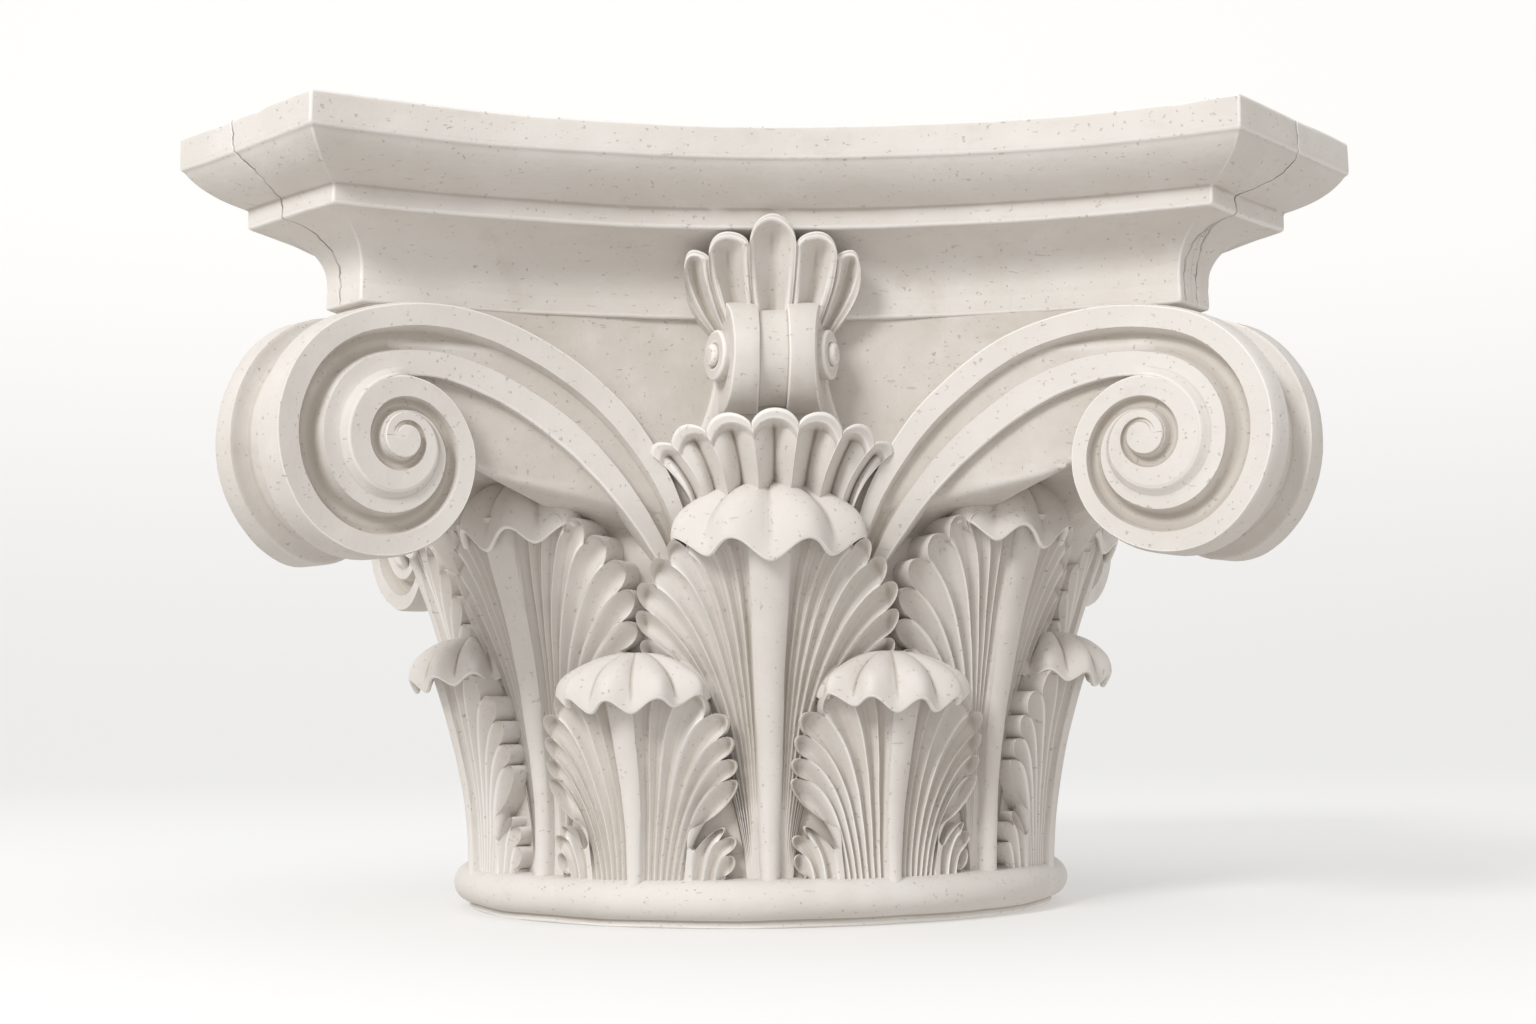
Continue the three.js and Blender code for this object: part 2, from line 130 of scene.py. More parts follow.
# Leaves: lobe tips on one side as distance from the rib and height, from the top down
LEAF_REF = 150
LEAF_SUNK = 5
LEAF_BACK = 131
FLARE_FROM = 21
LOWER_LEAF = {
    "tips": ((11.5, 103.5), (20.5, 103), (31.5, 98), (42, 88.5), (44.5, 78.5), (46, 68.5), (45, 57),
             (24.5, 37.5), (38.5, 42.3), (46, 37.3), (45.5, 27)),
    "eye": {"lobe": 7, "above": (28, 43), "below": (28, 33)},
    "heart": ((9, 58), (20, 25)), "notch": (6.6, 4.6),
    "top": 103, "rib": (3.4, 6.5), "rib_rise": 3.6, "reeds": (2.8, 5.2), "droop": 0.0015, "rows": 44,
    "radius": (147.2, 22, 86, 1.75), "turn": -1.7, "sway": 0.9,
    "cap": {"ridges": 5, "axis": 150, "reach": 30, "half": 35, "level": 97, "rise": 20, "drop": 4.6,
            "sides_up": 2.5, "follow": 1, "narrow": 0},
    "lift": (16, 2), "draw_in": 0, "offset": 0.5,
}
UPPER_LEAF = {
    "tips": ((13, 168), (20.5, 168), (28.5, 167.5), (37, 165.5), (45.5, 157.5), (53.5, 146.5), (56.5, 134),
             (56.5, 120.5), (53.5, 107.5), (49, 96)),
    "eye": None,
    "heart": ((10, 108), (10, 108)), "notch": (7.2, 7.2),
    "top": 167.5, "rib": (4.8, 9.0), "rib_rise": 6, "reeds": (0.55, 0), "droop": 0.002, "rows": 50,
    "radius": (140.5, 35.5, 144, 1.9), "turn": -0.8, "sway": 2.4,
    "cap": {"ridges": 4, "axis": 155, "reach": 34, "half": 43, "level": 166, "rise": 26.5, "drop": 7,
            "sides_up": 2.5, "follow": 0.75, "narrow": 0.12},
    "lift": (17, 1), "draw_in": 0.15, "offset": 0,
}
NOTCH_GROWS = (6, 40)
LAST_NOTCH = (-6, -5)
LOBE_COLUMNS = 10
LOBE_ROUND = (0.75, 0.72)
LOBE_LEAN = (0.3, 0.8)
LOBE_CURVE = {"out": (0.1, 0.5), "up": 0.5, "lean": 0.4}
LOBE_WALLS = (0.02, 0.08, 0.5, 1.0)
WALLS_SUNK = 2
ROWS_CROWD = 1.6
SWAY_POWER = 1.3
RIB_COLUMNS = 8
RIB_ROUND = 0.96
FLUTE = {"depth": 0.6, "widest": 11, "rim": 2.3, "ridge": 0.85, "fade": (0.8, 2.6)}
CAP = {"columns": 96, "rows": (22, 9, 7), "sweep": math.radians(125), "lip": 1.5, "back": 0.35,
       "ridge": 2.6, "dome": 0.92, "scallop": (0.12, 0.65), "crease": 0.2, "flat": 0.95}

# Calyx fan, scroll and palmette
FAN = {"lobes": 7, "crowns": (217.8, -1.15), "notches": (212, -2.45), "top": (53, 0.38),
       "foot": (0.64, 165), "front": (156, 190), "recede": 20, "depth": 9.2, "level": 0.45, "undercut": 2,
       "lean": 0.6, "back": 150, "sink": 8, "lip": 1.9, "columns": 16, "rows": 34, "rows_crowd": 1.5,
       "crown_round": 0.6, "spreads": 2.5, "swells": 1.3, "recede_from": (0.1, 1), "lip_from": (0.9, 0.95)}
PALMETTE = {"lobes": 5, "foot": (20, 0.62, 250), "top": (40, 0.5), "crowns": (302.7, -7.45, 0.35),
            "notches": (289.2, 0.7, -2.0), "front": (170, 188), "recede": 1.6, "depth": 7.5, "full": 8,
            "rim": 2.3, "rim_share": 0.36, "crease": (1.4, 1.3), "back": 150, "sink": 0, "lip": 1.3,
            "columns": 24, "rows": 44, "rows_crowd": 0.85, "swells": 1.2}
SCROLL = {"y": 164, "z": 245.5, "radius": 24, "core": 20.5, "groove": 6.2, "side": 22, "splay": 0.2,
          "arris": (0.3, 0.9), "dish": 0.8, "middle": 8}
BOSS = {"tilt": 22, "radius": 10.8, "length": 8, "button": 4.8, "at": (18, 168), "sunk": 9, "arris": 0.7,
        "ring": (1.2, 0.8), "dome": ((1, 1.4), (0.8, 2.4), (0.4, 2.8), (0, 2.9)), "step": 0.8}
ROUND_COLUMNS = 72
STRAP = {"z": (196, 262), "half": (36, 25), "taper": (196, 240), "y": 157,
         "edge": ((-1, -8), (-1, -1.2), (-0.97, -0.3))}

# Surfaces cut by hand: length and depth of the waves, the sharpest edge that is shaded round, and how
# curvature becomes painted shade in hollows and a painted highlight with some wear on proud edges
HAND_CUT = ((60, 0.45), (14, 0.12))
SHARP_ANGLE = math.radians(50)
PAINTED_LIGHT_AND_WEAR_GAIN = 2.5
PAINTED_LIGHT_AND_WEAR_FINEST = 0.04

# Stone: colours, noises as scale, detail and roughness, bands as where each layer begins and is full
# with the values at both, and marks as darkness and depth
# The brown hollow colour is painted shade for hollows and recesses; the worn colour is a painted highlight
# along proud edges, with some wear
STONE = {"light": (0.70, 0.67, 0.635, 1), "dark": (0.64, 0.607, 0.567, 1), "pale": (0.74, 0.715, 0.685, 1),
         "stain": (0.56, 0.52, 0.475, 1), "dirt": (0.39, 0.335, 0.275, 1), "worn": (0.86, 0.845, 0.82, 1),
         "mark": (0.27, 0.24, 0.205, 1)}
NOISE = {"broad": (7, 4, 0.55), "mottle": (38, 5, 0.6), "grain": (520, 3, 0.6), "pits": (480, 2, 0.5),
         "specks": (230, 4, 0.65), "scratches": (620, 2, 0.5)}
# One band lays painted shade in the hollows, another lays a painted highlight on proud edges
BANDS = {"dark": (0.35, 0.7), "pale": (0.45, 0.75, 0, 0.5), "stain": (0.42, 0.28, 0, 0.35),
         "dirt": (-0.1, -0.85, 0, 0.56), "worn": (0.15, 0.75, 0, 0.7), "pits": (0.69, 0.72),
         "specks": (0.71, 0.735), "scratches": (0.71, 0.75), "cracks": (0.2, 0.8, 1, 0),
         "rough": (0.3, 0.7, 0.72, 0.9)}
# How much the mottle breaks up the painted shade
PAINTED_SHADE_UNEVEN = 0.5
MARKS = {"pits": (0.35, 0.5), "specks": (0.4, 0.7), "scratches": (0.22, 0.4), "cracks": (0.65, 0.9)}
SLANT = {"Rotation": (0.5, 0.4, 0.9), "Scale": (0.12, 1, 1)}
BUMP = {"Strength": 0.6, "Distance": 0.0012}
BUMP_GRAIN = 0.16
BUMP_MOTTLE = 0.7
SPECULAR = 0.3

# Studio and camera, in metres and degrees, with the lens and sensor in millimetres
SKY = {"From Min": -0.4, "From Max": 0.6, "To Min": 0.72, "To Max": 0.83}
SKY_LOW = (1.0, 0.96, 0.915, 1)
SKY_HIGH = (1.0, 1.0, 1.0, 1)
KEY_LIGHT = {"place": (-1.4, -2.1, 1.6), "aim": (0, 0, 0.18), "size": 0.9, "power": 46,
             "colour": (1.0, 0.995, 0.985)}
FLOOR = {"half": 9, "front": -6, "bend": 2.2, "radius": 1.5, "top": 7, "colour": (0.7, 0.698, 0.693, 1),
         "rough": 0.9, "glow_colour": (1.0, 0.995, 0.985, 1), "glow": (0.405, 0.2)}
CAMERA = {"at": (-0.04098, -0.98924, 0.08817), "yaw": -2.679, "pitch": 6.229, "roll": -0.55,
          "lens": 45.249, "sensor": 36}

waves = np.random.default_rng(SEED)


def smooth(x, low, high):
    t = np.clip((x - low) / (high - low), 0, 1)
    return t * t * (3 - 2 * t)


def mix(a, b, t):
    return a + (b - a) * t


def polar(radius, angle, z):
    radius, angle, z = np.broadcast_arrays(radius, angle, z)
    return np.stack([radius * np.sin(angle), -radius * np.cos(angle), z], -1)


def bezier(a, b, c, d, t):
    return (1 - t) ** 3 * a + 3 * (1 - t) ** 2 * t * b + 3 * (1 - t) * t ** 2 * c + t ** 3 * d


def turned(points, quarter):
    c, s = round(math.cos(quarter * math.pi / 2)), round(math.sin(quarter * math.pi / 2))
    return points @ np.array([[c, s, 0], [-s, c, 0], [0, 0, 1]])


def mirrored(points):
    return np.array(points) * np.array([-1, 1, 1])


# Two distances to an edge joined into one, rounded where they are alike
def nearest(a, b, least=0.05, power=3):
    return ((a + least) ** -power + (b + least) ** -power) ** (-1 / power)


# A spoon's hollow: nothing over the rim, then round down to one in the middle
def spoon(gap, rim, half):
    inside = np.clip((gap - rim) / np.maximum(0.97 * half - rim, 0.05), 0, 1)
    return 1 - (1 - inside) ** 2


# Slow waves in the stone, for surfaces cut by hand
def hand_cut(points, length, depth, count=9):
    moved = np.zeros_like(points)
    for _ in range(count):
        way = waves.normal(size=3)
        way *= 2 * math.pi / length / np.linalg.norm(way) * waves.uniform(0.6, 1.5)
        push = waves.normal(size=3)
        moved += np.sin(points @ way + waves.uniform(0, 7))[..., None] * push / np.linalg.norm(push)
    return points + moved * depth / math.sqrt(count)


# Uneven patches over a surface, for where the edges are chipped
def ripple(points, length, count=14):
    total = np.zeros(points.shape[:-1])
    for _ in range(count):
        way = waves.normal(size=3)
        way *= 2 * math.pi / length / np.linalg.norm(way) * waves.uniform(0.5, 1.8)
        total += np.sin(points @ way + waves.uniform(0, 7))
    return total / math.sqrt(count)


# A line cut into even steps
def resampled(points, step):
    points = np.array(points, float)
    run = np.concatenate([[0], np.cumsum(np.linalg.norm(np.diff(points, axis=0), axis=1))])
    at = np.linspace(0, run[-1], int(run[-1] / step) + 1)
    return np.stack([np.interp(at, run, points[:, k]) for k in range(2)], -1)


# A line with its corners rounded, the more rounds the softer
def softened(line, rounds):
    line = line.copy()
    for _ in range(rounds):
        line[1:-1] = line[1:-1] / 2 + (line[2:] + line[:-2]) / 4
    return line


# Where a crack runs at each height, and how open it is there
def crack_line(corner, path, z):
    across, height = np.array(path[::-1]).T
    (wide, slow), (narrow, quick) = CRACK_WANDER
    wander = wide * np.sin(z * slow + corner) + narrow * np.sin(z * quick)
    closing = smooth(z - height[0], *CRACK_CLOSES) * (z < height[-1] + 0.5)
    return np.interp(z, height, across) + wander, closing * (0.75 + 0.25 * np.sin(z * 0.5))


# How far each point lies from the nearest crack, and how open that crack is there
def crack_field(points):
    distance = np.full(len(points), 99.0)
    depth = np.zeros(len(points))
    for corner, path in CRACKS:
        x, y, z = turned(points, -corner).T
        line, open_here = crack_line(corner, path, z)
        gap = (x - y) / math.sqrt(2) - line
        reach = -(x + y) / math.sqrt(2)
        on_top = np.where(z > ABACUS_TOP - 1, smooth(reach, *CRACK_ON_TOP), 1)
        open_here = open_here * (reach > CRACK_REACH) * on_top
        near = (np.abs(gap) < np.abs(distance)) & (open_here > 0)
        distance[near] = gap[near]
        depth[near] = open_here[near]
    return distance, depth


# One mesh gathered from grids of points, with how hollow or proud each point is
class Carving:
    def __init__(self, name):
        self.name = name
        self.points, self.quads, self.wear = [], [], []
        self.count = 0

    def add(self, grid, wrap=False, centre=None):
        grid = np.asarray(grid, float)
        rows, columns, _ = grid.shape
        down = np.gradient(grid, axis=0)
        if wrap:
            right = (np.roll(grid, -1, 1) - np.roll(grid, 1, 1)) / 2
            across = (np.roll(grid, -1, 1) + np.roll(grid, 1, 1)) / 2 - grid
        else:
            right = np.gradient(grid, axis=1)
            across = np.zeros_like(grid)
            across[:, 1:-1] = (grid[:, 2:] + grid[:, :-2]) / 2 - grid[:, 1:-1]
        along = np.zeros_like(grid)
        along[1:-1] = (grid[2:] + grid[:-2]) / 2 - grid[1:-1]
        normal = np.cross(down, right)
        normal /= np.maximum(np.linalg.norm(normal, axis=-1, keepdims=True), 1e-9)
        outward = grid * np.array([1, 1, 0]) if centre is None else grid - np.array(centre, float)
        flip = (normal * outward).sum() < 0
        if flip:
            normal = -normal
        bend = (along * normal).sum(-1) / np.maximum((down ** 2).sum(-1), PAINTED_LIGHT_AND_WEAR_FINEST)
        bend += (across * normal).sum(-1) / np.maximum((right ** 2).sum(-1), PAINTED_LIGHT_AND_WEAR_FINEST)
        index = np.arange(rows * columns).reshape(rows, columns) + self.count
        if wrap:
            index = np.hstack([index, index[:, :1]])
        corners = [index[:-1, :-1], index[1:, :-1], index[1:, 1:], index[:-1, 1:]]
        quads = np.stack(corners, -1).reshape(-1, 4)
        self.quads.append(quads[:, ::-1] if flip else quads)
        self.points.append(grid.reshape(-1, 3))
        # This curvature is painted later as shade in the hollows and as a highlight with some wear on proud
        # edges
        self.wear.append(np.clip(-bend * PAINTED_LIGHT_AND_WEAR_GAIN, -1, 1).ravel())
        self.count += rows * columns

    # The same grid on all four sides, and mirrored if asked
    def add_round(self, grid, mirror=False, wrap=False, centre=None):
        for quarter in range(4):
            for place in (np.array, mirrored) if mirror else (np.array,):
                middle = None if centre is None else turned(place(centre), quarter)
                self.add(turned(place(grid), quarter), wrap, middle)

    def finish(self, material):
        points = np.concatenate(self.points)
        for length, depth in HAND_CUT:
            points = hand_cut(points, length, depth)
        points[:, 2] = np.clip(points[:, 2], 0, ABACUS_TOP)
        quads = np.concatenate(self.quads)
        mesh = bpy.data.meshes.new(self.name)
        mesh.vertices.add(len(points))
        mesh.vertices.foreach_set("co", (points * MM).astype(np.float32).ravel())
        mesh.loops.add(quads.size)
        mesh.loops.foreach_set("vertex_index", quads.astype(np.int32).ravel())
        mesh.polygons.add(len(quads))
        mesh.polygons.foreach_set("loop_start", np.arange(0, quads.size, 4, dtype=np.int32))
        mesh.update(calc_edges=True)
        mesh.validate()
        mesh.polygons.foreach_set("use_smooth", np.ones(len(mesh.polygons), bool))
        mesh.set_sharp_from_angle(angle=SHARP_ANGLE)
        crack, crack_depth = crack_field(points)
        # The wear attribute carries painted shade for hollows and a painted highlight with some wear for
        # proud edges
        marks = {"wear": np.concatenate(self.wear), "crack": crack, "crack_depth": crack_depth}
        for label, values in marks.items():
            attribute = mesh.attributes.new(label, "FLOAT", "POINT")
            attribute.data.foreach_set("value", values.astype(np.float32))
        mesh.materials.append(material)
        piece = bpy.data.objects.new(self.name, mesh)
        bpy.context.scene.collection.objects.link(piece)
        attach(piece, "root")
        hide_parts("capital")


# How far out a hollow side lies, at each angle from its middle
def hollow_side(centre, radius, fold):
    return centre * np.cos(fold) - np.sqrt(np.maximum(radius ** 2 - (centre * np.sin(fold)) ** 2, 0))


def bell_radius(z):
    return BELL_RADIUS + BELL_FLARE * (z - LEAF_FOOT)


# Bed, astragal and the bell that spreads to the hollow walls behind the volutes
def carve_bell(carving):
    angles = np.linspace(0, 2 * math.pi, BELL_COLUMNS, endpoint=False)
    t = np.radians(np.linspace(-90, 90, 22))[1:]
    astragal = np.stack([ASTRAGAL_CENTRE + ASTRAGAL_RADIUS * np.cos(t),
                         BED_HEIGHT + ASTRAGAL_RADIUS * (1 + np.sin(t))], -1)
    radius, height = np.concatenate([BED_OUTLINE, astragal, ASTRAGAL_TUCK]).T[..., None]
    carving.add(polar(radius, angles, height), wrap=True, centre=BED_INSIDE)
    plain = np.linspace(BELL_FOOT, BELL_WAIST[0], 14)
    spreading = np.linspace(BELL_WAIST[1], NECK["bottom"] + BELL_OVERLAP, 84)
    z = np.concatenate([plain, spreading])[:, None]
    fold = np.abs((angles + math.pi / 4) % (math.pi / 2) - math.pi / 4)
    wall = hollow_side(WALL["centre"], WALL["radius"], fold)
    neck = hollow_side(ABACUS_CENTRE, ABACUS_ARC + NECK["inset"], fold) - WALL["neck_gap"]
    spread = mix(bell_radius(z), wall, smooth(z, WALL["start"], WALL["full"]))
    spread = mix(spread, np.minimum(spread, neck), smooth(z, *WALL["under_neck"]))
    raised = WALL["behind_caps"] * smooth(np.degrees(fold), *WALL["caps_from"])
    limit = mix(*WALL["limit"], smooth(z - raised, *WALL["corner"]))
    radius = -WALL["round"] * np.logaddexp(-spread / WALL["round"], -limit / WALL["round"])
    carving.add(polar(radius, angles, z), wrap=True)
    # Painted shade: the whole bell and its walls are darkened, as they lie back under the abacus and
    # volutes
    carving.wear[-1] = carving.wear[-1] - WALL["dirt"]


# The mouldings of the abacus as inset and height, from under the neck to the top
def abacus_profile():
    inset, line, half_line = NECK["inset"], NECK["line"], NECK["line_half"]
    neck = [(NECK["core"], NECK["bottom"]), (inset, NECK["bottom"]), (inset, line - half_line),
            (inset + NECK["line_depth"], line), (inset, line + half_line)]
    overhang = inset - FILLET["inset"] - FILLET["undercut"]
    cavetto = [(inset - overhang * (1 - math.cos(a)), mix(NECK["top"], FILLET["bottom"], math.sin(a)))
               for a in np.radians(np.linspace(0, 90, 24))]
    fillet = [(FILLET["inset"], FILLET["bottom"]), (FILLET["inset"], OVOLO["bottom"])]
    low, high = np.radians(OVOLO["turn"])
    turn = np.linspace(low, high, 16)[1:]
    outwards = (np.sin(turn) - math.sin(low)) / (math.sin(high) - math.sin(low))
    upwards = (math.cos(low) - np.cos(turn)) / (math.cos(low) - math.cos(high))
    ovolo = [(mix(FILLET["inset"], OVOLO["ledge"], out), OVOLO["bottom"] + OVOLO["height"] * up)
             for out, up in zip(outwards, upwards)]
    fascia = [(OVOLO["ledge"], FASCIA_BOTTOM), (0, FASCIA_BOTTOM), (0, ABACUS_TOP), (TOP_INSET, ABACUS_TOP)]
    return resampled(neck + cavetto + fillet + ovolo + fascia, PROFILE_STEP)


# A chamfered corner's columns, gathered to either side of its first crack and cut in along it
def cracked_chamfer(begin, end, z, corner):
    path = next(path for at, path in CRACKS if at == corner)
    line, open_here = crack_line(corner, path, z)
    length = np.linalg.norm(end - begin, axis=-1)
    groove = 0.5 + (line + np.array(CRACK_GROOVE["across"])) / length
    before = groove[:, :1] * np.linspace(0, 1, CHAMFER_COLUMNS, endpoint=False)
    beyond = mix(groove[:, -1:], 1, np.linspace(1, 0, CHAMFER_COLUMNS, endpoint=False)[::-1])
    points = mix(begin, end, np.hstack([before, groove, beyond])[..., None])
    sunk = open_here * np.array(CRACK_GROOVE["depth"])
    points[:, CHAMFER_COLUMNS:-CHAMFER_COLUMNS] += sunk[..., None] * np.array([-1, 1, 0]) / math.sqrt(2)
    return points


# The columns between the ends of a rounded arris
def rounded(start, tip, stop):
    t = np.linspace(0, 1, 5)[None, 1:-1, None]
    return (1 - t) ** 2 * start + 2 * (1 - t) * t * tip + t ** 2 * stop


# A ring round the abacus for each profile point: four hollow sides, chamfered corners, worn arrises
def abacus_rings(inset, z, worn):
    corner = sum(ABACUS_CORNER) - math.sqrt(2) * inset
    reach = ABACUS_ARC + inset
    half = math.pi / 4 + np.arcsin((corner - ABACUS_CENTRE) / (math.sqrt(2) * reach))

    def point(turn):
        flat = (reach * np.sin(turn), reach * np.cos(turn) - ABACUS_CENTRE)
        return np.stack(np.broadcast_arrays(*flat, z), -1)

    trim = ARRIS_TRIM["sharp"] + ARRIS_TRIM["worn"] * worn
    arc = point((half - trim / reach) * np.linspace(-1, 1, ABACUS_COLUMNS))
    tip = point(half)
    after = turned(point(-half), 1)
    width = np.linalg.norm(after - tip, axis=-1, keepdims=True)
    share = np.clip(trim[..., None] / width, 0, 0.45)
    begin, end = mix(tip, after, share), mix(tip, after, 1 - share)
    first = rounded(arc[:, -1:], tip, begin)
    second = rounded(end, after, turned(arc[:, :1], 1))
    sides = []
    for k in range(4):
        chamfer = cracked_chamfer(begin, end, z, (k + 1) % 4)
        sides.append(turned(np.concatenate([arc, first, chamfer, second], 1), k))
    return np.concatenate(sides, 1)


def carve_abacus(carving):
    raw = abacus_profile()
    crisp, worn = softened(raw, 1), softened(raw, CHIPS["soft"])
    plain = abacus_rings(crisp[:, :1], crisp[:, 1:], np.zeros((len(raw), 1)))
    chips = np.zeros(plain.shape[:-1])
    for length, begins, full, share in CHIPS["sizes"]:
        chips += share * smooth(ripple(plain, length), begins, full)
    chips *= smooth(plain[..., 2], *CHIPS["from"])
    worn_rings = abacus_rings(worn[:, :1], worn[:, 1:], np.full((len(raw), 1), CHIPS["wear"]))
    rings = mix(plain, worn_rings, np.clip(chips, 0, 1)[..., None])
    middle = np.array([0, 0, ABACUS_TOP])
    top = rings[-1] * np.array([1, 1, 0]) + middle
    inner = np.stack([mix(top, middle, share) for share in TOP_RINGS])
    carving.add(np.concatenate([rings, inner]), wrap=True, centre=ABACUS_INSIDE)


# A point on the hollow face of a volute, from its distance along, its height and how far it stands out
def on_face(s, z, rise):
    turn, reach = s / FACE["radius"], FACE["radius"] - rise
    return np.stack([reach * np.sin(turn), reach * np.cos(turn) - FACE["centre"], z + 0 * rise], -1)


# The outer edge of the spiral, winding in towards the eye
def spiral(theta):
    size = SPIRAL["size"] * np.exp(-SPIRAL["decay"] * (theta - math.pi / 2))
    first, last, share = SPIRAL_TIGHTENS
    size = size * mix(1, share, smooth((theta - SPIRAL_START) / (2 * math.pi), first, last))
    return np.stack([SPIRAL["s"] + size * (SPIRAL["width"] * np.cos(theta) + SPIRAL["shift"][0]),
                     SPIRAL["z"] + size * (np.sin(theta) + SPIRAL["shift"][1])], -1)


# How far a turn of the volute stands out from the hollow face
def turn_level(turn):
    return TURN_LEVEL["most"] * (1 - np.exp(-TURN_LEVEL["rate"] * np.maximum(turn, 0)))


# One edge of the stem, carried straight on below its foot
def stem_edge(handles, end, t):
    a, b, c = (np.array(p, float) for p in handles)
    return bezier(a, b, c, end, np.maximum(t, 0)) + 3 * (b - a) * np.minimum(t, 0)


# The band of a volute, up its stem and round the spiral: fillet, channel, fillet, step to the next turn
def volute_band():
    _, a, b, ledge, _ = BAND_FIRST
    # Columns across the band, closer together at its arrises
    fillet = [0, 0.012, 0.03, 0.1, 0.2, 0.28, a - 0.006, a]
    channel = np.linspace(a + 0.012, b - 0.012, 11)
    inner_fillet = [b, b + 0.006, b + 0.03, 0.75, ledge]
    nominal = np.concatenate([fillet, channel, inner_fillet, np.linspace(ledge + 0.026, 1, 6)])
    t = np.linspace(-STEM_BELOW, 1, STEM_ROWS)[:-1, None]
    turn = np.linspace(0, SPIRAL_TURNS, int(TURN_ROWS * SPIRAL_TURNS))
    theta = SPIRAL_START + 2 * math.pi * turn
    outer_stem = stem_edge(STEM_OUTER, spiral(SPIRAL_START), t)
    inner_stem = stem_edge(STEM_INNER, spiral(SPIRAL_START + 2 * math.pi), t)
    outer = np.concatenate([outer_stem, spiral(theta)])
    inner = np.concatenate([inner_stem, spiral(theta + 2 * math.pi)])
    turn = np.concatenate([np.zeros(len(t)), turn])[:, None]
    stepped = np.concatenate([smooth(t[:, 0], STEM_STEPS, 1), np.ones(len(theta))])[:, None]
    knots = mix(np.array(BAND_FIRST), np.array(BAND_LATER), smooth(turn, *BAND_CHANGE))
    share = np.stack([np.interp(nominal, BAND_FIRST, row) for row in knots])
    width = np.linalg.norm(inner - outer, axis=-1)[:, None]
    place = mix(outer[:, None], inner[:, None], share[..., None])
    across = np.clip((nominal - (a + b) / 2) / ((b - a) / 2), -1, 1)
    fade = 1 - smooth(turn, *EYE_TURNS)
    depth = np.minimum(CHANNEL["share"] * width, CHANNEL["depth"]) * fade
    scoop = 1 - np.abs(across) ** CHANNEL["square"]
    fall = BAND_ARRIS["fall"]
    relief = -depth * scoop - fall * (1 - smooth(nominal, *BAND_ARRIS["outer"])) * (turn < 1)
    relief = relief - fall * (1 - stepped) * smooth(nominal, *BAND_ARRIS["inner"])
    step = (turn_level(turn + 1) - turn_level(turn)) * fade
    rise = turn_level(turn) + stepped * step * smooth(nominal, ledge, 1)[None, :]
    z = place[..., 1]
    sunk = 1 - smooth(z, STEM_RECEDE["to"], STEM_RECEDE["from"])
    rise = rise - STEM_RECEDE["depth"] * sunk * (turn == 0)
    # The last value returned is painted shade for the channel's hollow
    return place[..., 0], z, rise + relief, CHANNEL["dirt"] * scoop * fade


# The outer edge that joins the two volutes of a corner, with a channel round it
def channelled_edge(edge, eye):
    over = edge[..., [1, 0, 2]]
    low, high = EDGE_CHANNEL["share"]
    wall = np.array([0, 0.015, 0.05, 0.1, 0.2, 0.35, 0.5])
    near = [0, 0.01, 0.03, 0.15, low - 0.01]
    far = [high + 0.01, 0.85, 0.97, 0.99, 1]
    share = np.concatenate([near, mix(low, high, wall), mix(high, low, wall[-2::-1]), far])
    across = np.clip((share - 0.5) / ((high - low) / 2), -1, 1)
    row = np.arange(len(edge)) - EDGE_LEAD
    opening = smooth(row, -EDGE_LEAD, EDGE_CHANNEL["full"])
    fade = opening * (1 - smooth(row / TURN_ROWS, *EDGE_CHANNEL["ends"]))
    inwards = (eye + eye[..., [1, 0, 2]]) / 2 - (edge + over) / 2
    inwards /= np.linalg.norm(inwards, axis=-1, keepdims=True)
    hollow = EDGE_CHANNEL["depth"] * fade[:, None] * (1 - np.abs(across) ** EDGE_CHANNEL["square"])
    proud = smooth(np.minimum(share, 1 - share), 0, EDGE_CHANNEL["arris"])
    hollow = hollow - EDGE_CHANNEL["proud"] * proud
    return mix(edge, over, share[None, :, None]) + inwards * hollow[..., None]


def carve_volutes(carving):
    s, z, rise, dirt = volute_band()
    carving.add_round(on_face(s, z, rise), mirror=True)
    # Painted shade darkens the volute channels
    carving.wear = [wear - dirt.ravel() for wear in carving.wear]
    last = on_face(s[-TURN_ROWS:, -1], z[-TURN_ROWS:, -1], rise[-TURN_ROWS:, -1])
    eye = on_face(*(v[-TURN_ROWS:, -1:].mean(0) for v in (s, z, rise)))
    carving.add_round(np.stack([mix(last, eye, k) for k in (0, 0.5, 1)]), mirror=True, wrap=True)
    stem = slice(0, STEM_ROWS)
    for column in (0, -1):
        back = [on_face(s[stem, column], z[stem, column], rise[stem, column] - d) for d in STEM_SINK]
        carving.add_round(np.stack(back, 1), mirror=True)
    rim = slice(STEM_ROWS - EDGE_LEAD, STEM_ROWS + TURN_ROWS)
    edge = on_face(s[rim, 0], z[rim, 0], rise[rim, 0])[:, None]
    carving.add_round(channelled_edge(edge, eye))


# The ends of a leaf's flutes on one side: notches before, between and after the lobes
def leaf_notches(leaf):
    tips = np.array(leaf["tips"], float)
    eye = leaf["eye"]["lobe"] if leaf["eye"] else len(tips)
    notches = [(leaf["rib"][1], leaf["top"] + 1)]
    for i in range(len(tips) - 1):
        if i in (eye - 1, eye):
            notches.append(leaf["eye"]["above" if i < eye else "below"])
            continue
        middle = (tips[i] + tips[i + 1]) / 2
        part = 1 if i > eye else 0
        inwards = np.array(leaf["heart"][part]) - middle
        depth = leaf["notch"][part] * smooth(middle[0], *NOTCH_GROWS)
        notches.append(middle + depth * inwards / np.linalg.norm(inwards))
    notches.append(tips[-1] + np.array(LAST_NOTCH))
    return tips, np.array(notches, float), eye + 1


